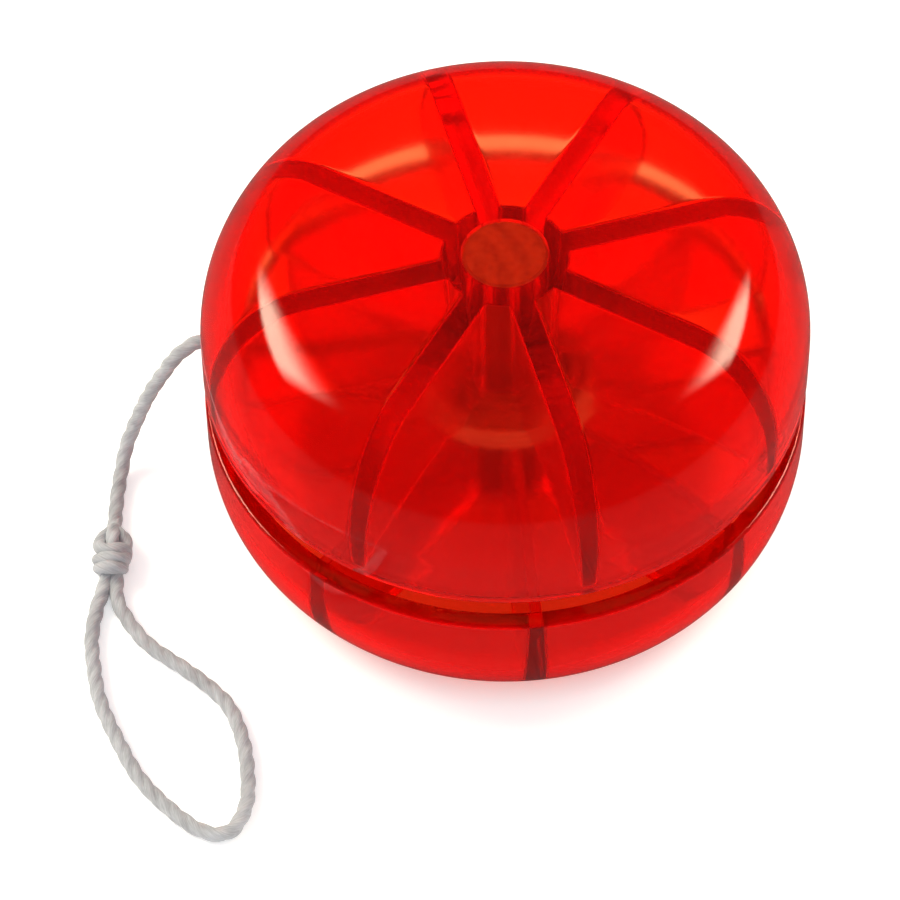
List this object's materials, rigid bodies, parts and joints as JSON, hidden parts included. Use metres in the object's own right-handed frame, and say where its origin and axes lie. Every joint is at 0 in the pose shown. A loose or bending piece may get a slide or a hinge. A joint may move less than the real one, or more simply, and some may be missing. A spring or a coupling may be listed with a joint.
{
  "type": "yo yo",
  "caption": "Round toy of clear red moulded plastic with a ribbed inside, spinning on a wooden axle in the slip loop of a wound cotton string with a finger loop.",
  "frame": {"origin": "centre of the flat of the lower crown, where the toy rests", "axes": "+Z along the axle from the lower crown to the upper one; the string leaves towards -X; the finger loop lies towards -Y"},
  "size_m": [0.0696, 0.0715, 0.036],
  "materials": {
    "clear_red_plastic": "clear red moulded plastic, polished",
    "axle_wood": "bare birch dowel",
    "string_cotton": "twisted off-white cotton"
  },
  "bodies": {
    "string": {"string_winding": "string_cotton", "string_tail": "string_cotton", "finger_knot": "string_cotton", "finger_loop": "string_cotton"},
    "yo_yo": {"upper_half": "clear_red_plastic", "lower_half": "clear_red_plastic", "axle": "axle_wood"}
  },
  "joints": [
    {"name": "spin", "type": "hinge", "parent": "string", "child": "yo_yo", "pos_m": [0, 0, 0.018], "axis": [0, 0, 1], "continuous": true}
  ]
}
